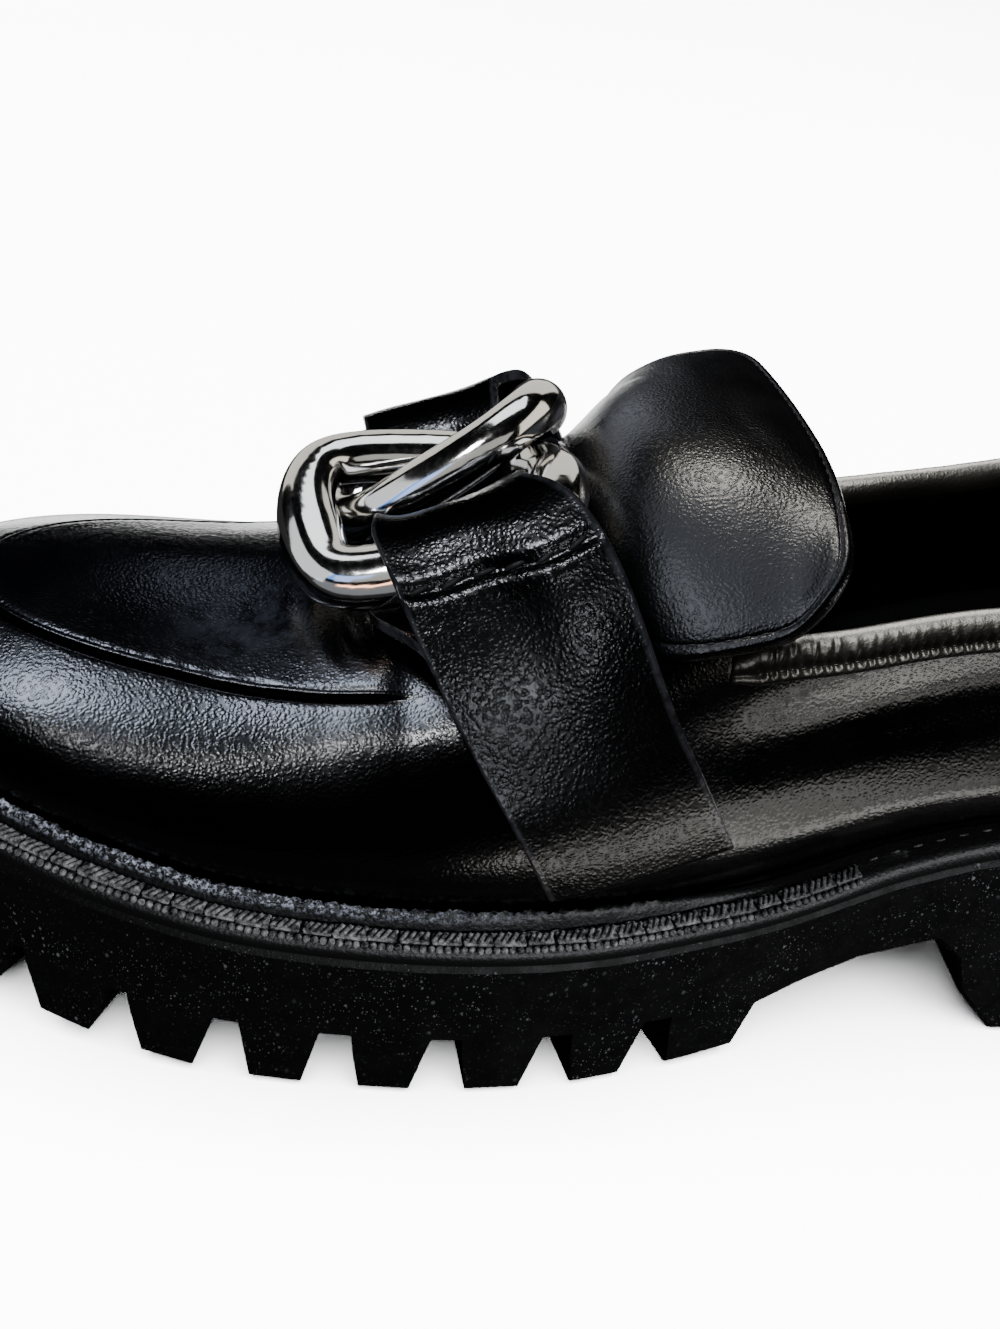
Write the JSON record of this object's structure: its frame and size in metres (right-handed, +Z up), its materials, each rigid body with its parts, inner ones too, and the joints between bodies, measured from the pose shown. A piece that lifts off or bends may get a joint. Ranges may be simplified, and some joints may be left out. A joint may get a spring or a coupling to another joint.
{
  "type": "loafer",
  "caption": "Chunky black leather slip-on loafer with a deep lug sole, raised apron seam, wide tongue and a heavy curb chain held by two side straps.",
  "frame": {"origin": "centre of the shoe's overall footprint, at floor level", "axes": "+X to the toe, +Y to the outer side of this left shoe, +Z up"},
  "size_m": [0.27, 0.1002, 0.0996],
  "materials": {
    "black_rubber": "matte, moulded, a little dusty",
    "welt_rubber": "matte, with a knurled edge",
    "black_leather": "fine pebbled grain, satin",
    "strap_leather": "fine pebbled grain, satin, raw cut edges",
    "polished_steel": "mirror polished",
    "footbed_lining": "matte"
  },
  "bodies": {
    "root": {"outsole": "black_rubber", "welt": "welt_rubber", "upper": "black_leather", "collar_binding": "black_leather", "tongue": "black_leather", "strap_lateral": "strap_leather", "strap_medial": "strap_leather", "chain_link_lateral": "polished_steel", "chain_link_medial": "polished_steel", "insole": "footbed_lining"}
  },
  "joints": []
}
